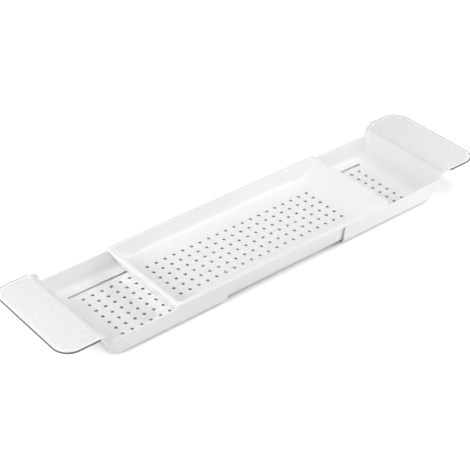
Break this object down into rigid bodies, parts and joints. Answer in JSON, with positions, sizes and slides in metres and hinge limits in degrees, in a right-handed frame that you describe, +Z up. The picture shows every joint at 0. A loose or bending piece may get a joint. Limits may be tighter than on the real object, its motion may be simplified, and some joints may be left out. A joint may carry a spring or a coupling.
{
  "type": "bath caddy",
  "caption": "Extending bath caddy: a perforated centre tray between two sliding end trays, whose winged ends rest on the rims of a tub.",
  "frame": {"origin": "on the ground under the middle of the caddy, with both end trays fully out", "axes": "+X along the caddy towards its right end, +Y across it towards its back, +Z up"},
  "size_m": [0.746, 0.1758, 0.0509],
  "materials": {
    "white_plastic": "satin moulded polypropylene",
    "grey_grip": "soft matte elastomer",
    "stud_plastic": "smooth acetal"
  },
  "bodies": {
    "centre": {"centre_tray": "white_plastic", "guide_stud_left_front": "stud_plastic", "guide_stud_left_back": "stud_plastic", "guide_stud_right_front": "stud_plastic", "guide_stud_right_back": "stud_plastic"},
    "left_end": {"left_end_tray": "white_plastic", "left_grip": "grey_grip"},
    "right_end": {"right_end_tray": "white_plastic", "right_grip": "grey_grip"}
  },
  "joints": [
    {"name": "left_slide", "type": "slide", "parent": "centre", "child": "left_end", "axis": [1, 0, 0], "range_m": [0, 0.1]},
    {"name": "right_slide", "type": "slide", "parent": "centre", "child": "right_end", "axis": [-1, 0, 0], "range_m": [0, 0.1]}
  ]
}
